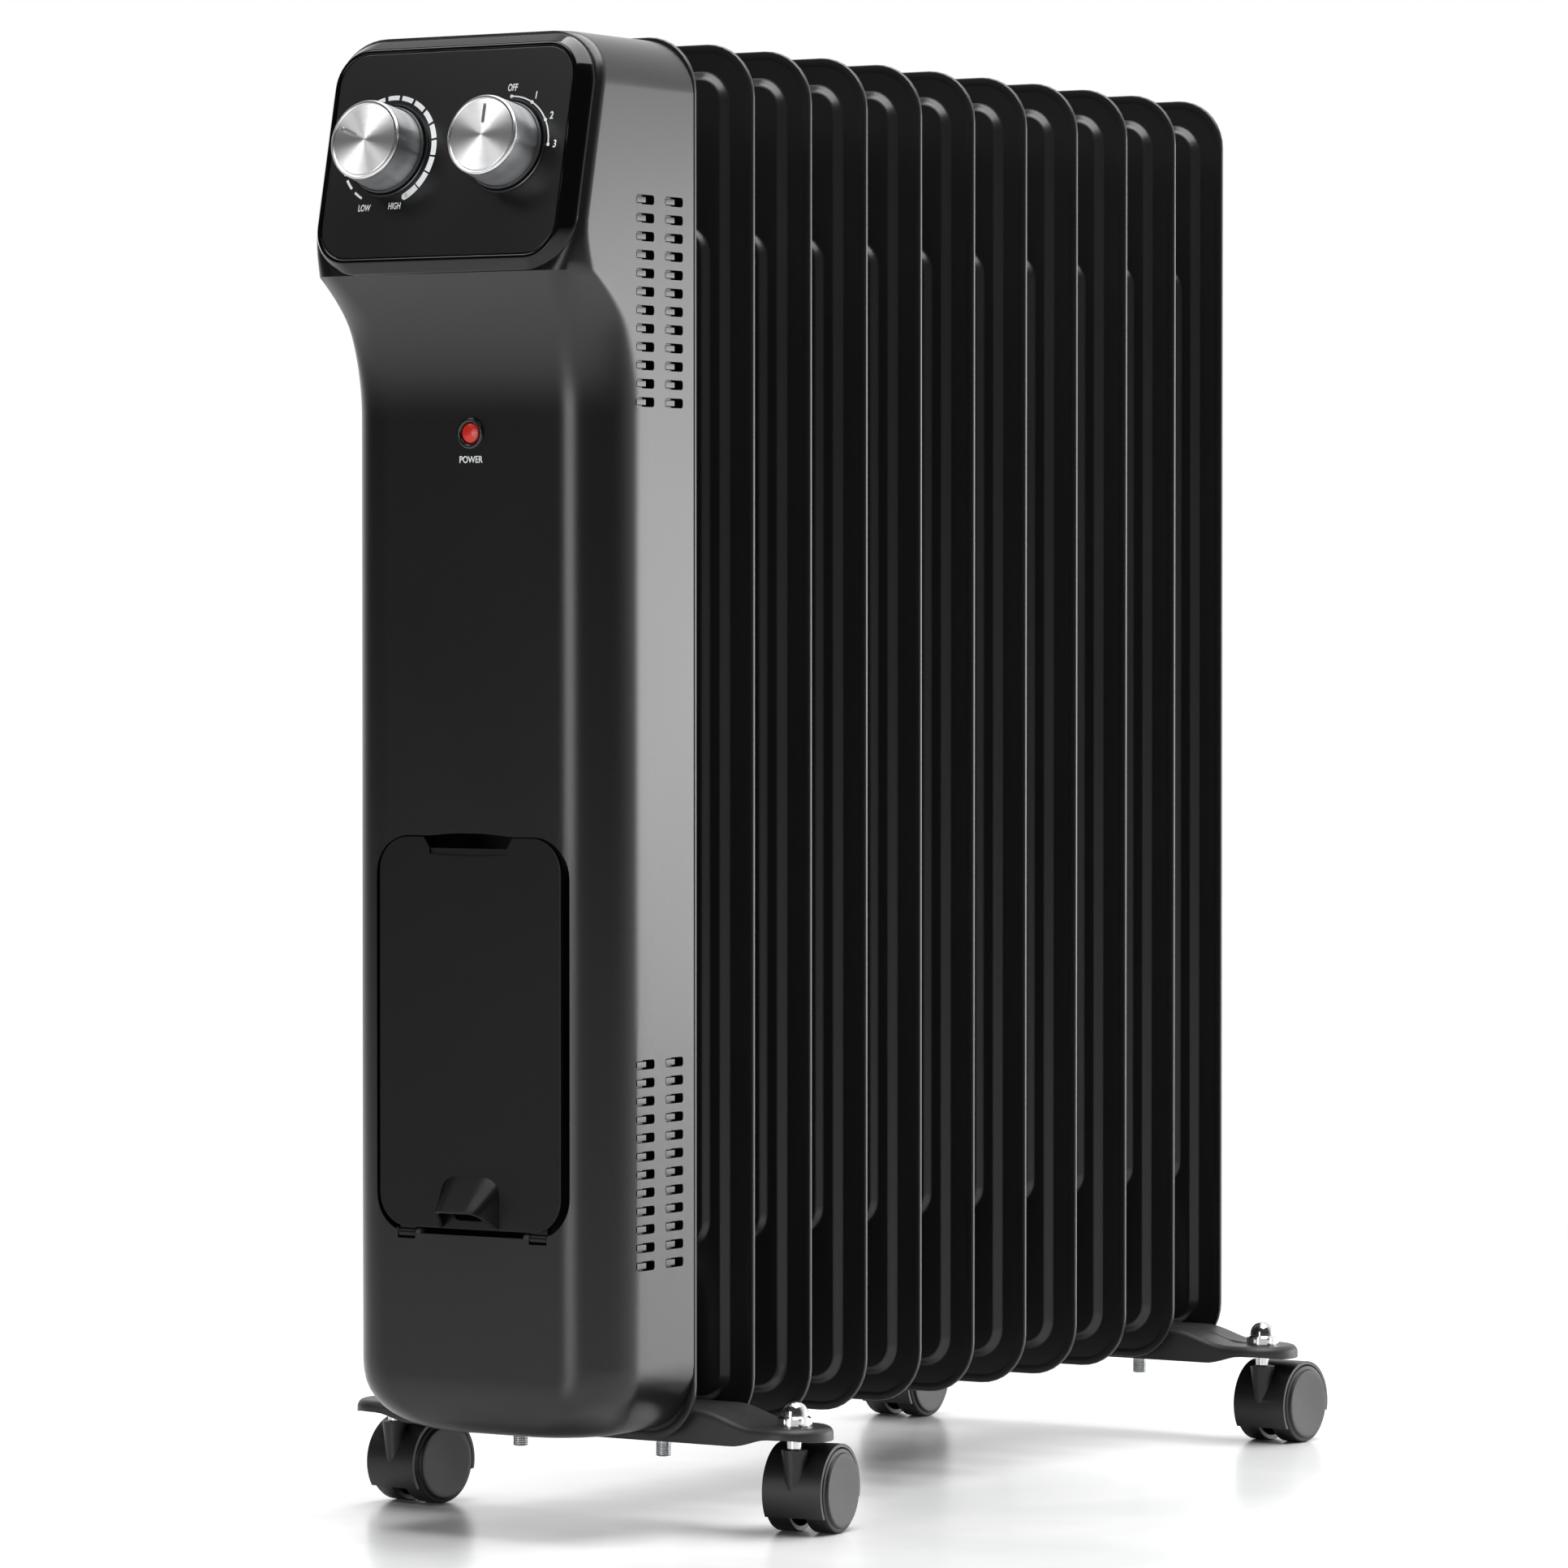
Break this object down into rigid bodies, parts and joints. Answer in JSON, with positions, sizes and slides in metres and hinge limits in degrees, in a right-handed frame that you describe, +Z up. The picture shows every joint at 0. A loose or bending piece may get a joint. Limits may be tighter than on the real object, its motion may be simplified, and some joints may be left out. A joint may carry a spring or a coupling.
{
  "type": "oil filled radiator heater",
  "caption": "Free-standing oil filled column radiator heater with a slanted control face, two dials, a cord compartment door and swivelling twin-wheel casters.",
  "frame": {"origin": "on the floor under the middle of the heater's box", "axes": "+Z up, -Y towards the control face, +X to the right of a person facing the heater's controls"},
  "size_m": [0.2368, 0.5684, 0.624],
  "materials": {
    "fin_enamel": "satin black baked enamel",
    "foot_enamel": "satin black enamel",
    "element_sheath": "dull steel tube",
    "brass": "turned brass",
    "galvanised": "galvanised sheet",
    "housing_plastic": "fine textured satin black",
    "gloss_black": "high gloss black",
    "switch_plastic": "ivory moulding",
    "plated_steel": "zinc plated steel",
    "spun_aluminium": "spun face with a bright rim",
    "knob_core": "dark satin skirt",
    "lamp_red": "faceted red lens",
    "liner_plastic": "moulded tray",
    "gland_rubber": "soft black",
    "bright_zinc": "bright plated",
    "caster_plastic": "moulded nylon, satin",
    "wheel_plastic": "moulded nylon, satin",
    "print_white": "pad printed dial marks"
  },
  "bodies": {
    "heater": {"fin_01": "fin_enamel", "fin_02": "fin_enamel", "fin_03": "fin_enamel", "fin_04": "fin_enamel", "fin_05": "fin_enamel", "fin_06": "fin_enamel", "fin_07": "fin_enamel", "fin_08": "fin_enamel", "fin_09": "fin_enamel", "fin_10": "fin_enamel", "fin_11": "fin_enamel", "section_necks": "fin_enamel", "heating_elements": "element_sheath", "element_flange": "brass", "oil_plug": "brass", "heat_shield": "galvanised", "control_housing": "housing_plastic", "face_bezel": "gloss_black", "face_panel": "gloss_black", "thermostat_body": "switch_plastic", "selector_body": "switch_plastic", "lamp_bezel": "gloss_black", "lamp_lens": "lamp_red", "cord_compartment": "liner_plastic", "door_pins": "plated_steel", "cord_gland": "gland_rubber", "terminal_block": "switch_plastic", "tilt_switch_body": "switch_plastic", "thermal_cutout": "plated_steel", "housing_screws": "plated_steel", "front_foot": "foot_enamel", "rear_foot": "foot_enamel", "u_bolts": "plated_steel", "u_bolt_nuts": "plated_steel", "acorn_nuts": "bright_zinc", "caster_stems": "bright_zinc"},
    "thermostat_dial": {"thermostat_shaft": "plated_steel", "thermostat_knob": "knob_core", "thermostat_cap": "spun_aluminium"},
    "selector_dial": {"selector_shaft": "plated_steel", "selector_knob": "knob_core", "selector_cap": "spun_aluminium"},
    "door": {"compartment_door": "housing_plastic"},
    "tilt_weight": {"tilt_switch_pendulum": "plated_steel"},
    "caster_fr": {"caster_hood_fr": "caster_plastic", "caster_axle_fr": "plated_steel"},
    "wheel_fr_outer": {"wheel_fr_outer": "wheel_plastic"},
    "wheel_fr_inner": {"wheel_fr_inner": "wheel_plastic"},
    "caster_fl": {"caster_hood_fl": "caster_plastic", "caster_axle_fl": "plated_steel"},
    "wheel_fl_outer": {"wheel_fl_outer": "wheel_plastic"},
    "wheel_fl_inner": {"wheel_fl_inner": "wheel_plastic"},
    "caster_rr": {"caster_hood_rr": "caster_plastic", "caster_axle_rr": "plated_steel"},
    "wheel_rr_outer": {"wheel_rr_outer": "wheel_plastic"},
    "wheel_rr_inner": {"wheel_rr_inner": "wheel_plastic"},
    "caster_rl": {"caster_hood_rl": "caster_plastic", "caster_axle_rl": "plated_steel"},
    "wheel_rl_outer": {"wheel_rl_outer": "wheel_plastic"},
    "wheel_rl_inner": {"wheel_rl_inner": "wheel_plastic"}
  },
  "joints": [
    {"name": "thermostat_turn", "type": "hinge", "parent": "heater", "child": "thermostat_dial", "pos_m": [-0.0292, -0.26301, 0.57496], "axis": [0, -0.9763, 0.2164], "range_deg": [-217, 83]},
    {"name": "selector_turn", "type": "hinge", "parent": "heater", "child": "selector_dial", "pos_m": [0.0292, -0.26301, 0.57496], "axis": [0, -0.9763, 0.2164], "range_deg": [-90, 0]},
    {"name": "door_swing", "type": "hinge", "parent": "heater", "child": "door", "pos_m": [0, -0.24386, 0.1269], "axis": [1, 0, 0], "range_deg": [0, 90]},
    {"name": "tilt_swing", "type": "hinge", "parent": "heater", "child": "tilt_weight", "pos_m": [-0.016, -0.21366, 0.1105], "axis": [0, 1, 0], "range_deg": [-25, 25]},
    {"name": "swivel_fr", "type": "hinge", "parent": "heater", "child": "caster_fr", "pos_m": [0.102, -0.15716, 0.03], "axis": [0, 0, 1], "continuous": true},
    {"name": "roll_fr_outer", "type": "hinge", "parent": "caster_fr", "child": "wheel_fr_outer", "pos_m": [0.10005, -0.14128, 0.0178], "axis": [0.9925, 0.1219, 0], "continuous": true},
    {"name": "roll_fr_inner", "type": "hinge", "parent": "caster_fr", "child": "wheel_fr_inner", "pos_m": [0.10005, -0.14128, 0.0178], "axis": [0.9925, 0.1219, 0], "continuous": true},
    {"name": "swivel_fl", "type": "hinge", "parent": "heater", "child": "caster_fl", "pos_m": [-0.102, -0.15716, 0.03], "axis": [0, 0, 1], "continuous": true},
    {"name": "roll_fl_outer", "type": "hinge", "parent": "caster_fl", "child": "wheel_fl_outer", "pos_m": [-0.09977, -0.14131, 0.0178], "axis": [0.9903, -0.1392, 0], "continuous": true},
    {"name": "roll_fl_inner", "type": "hinge", "parent": "caster_fl", "child": "wheel_fl_inner", "pos_m": [-0.09977, -0.14131, 0.0178], "axis": [0.9903, -0.1392, 0], "continuous": true},
    {"name": "swivel_rr", "type": "hinge", "parent": "heater", "child": "caster_rr", "pos_m": [0.102, 0.24784, 0.03], "axis": [0, 0, 1], "continuous": true},
    {"name": "roll_rr_outer", "type": "hinge", "parent": "caster_rr", "child": "wheel_rr_outer", "pos_m": [0.10284, 0.26382, 0.0178], "axis": [0.9986, -0.0523, 0], "continuous": true},
    {"name": "roll_rr_inner", "type": "hinge", "parent": "caster_rr", "child": "wheel_rr_inner", "pos_m": [0.10284, 0.26382, 0.0178], "axis": [0.9986, -0.0523, 0], "continuous": true},
    {"name": "swivel_rl", "type": "hinge", "parent": "heater", "child": "caster_rl", "pos_m": [-0.102, 0.24784, 0.03], "axis": [0, 0, 1], "continuous": true},
    {"name": "roll_rl_outer", "type": "hinge", "parent": "caster_rl", "child": "wheel_rl_outer", "pos_m": [-0.102, 0.26384, 0.0178], "axis": [1, 0, 0], "continuous": true},
    {"name": "roll_rl_inner", "type": "hinge", "parent": "caster_rl", "child": "wheel_rl_inner", "pos_m": [-0.102, 0.26384, 0.0178], "axis": [1, 0, 0], "continuous": true}
  ]
}
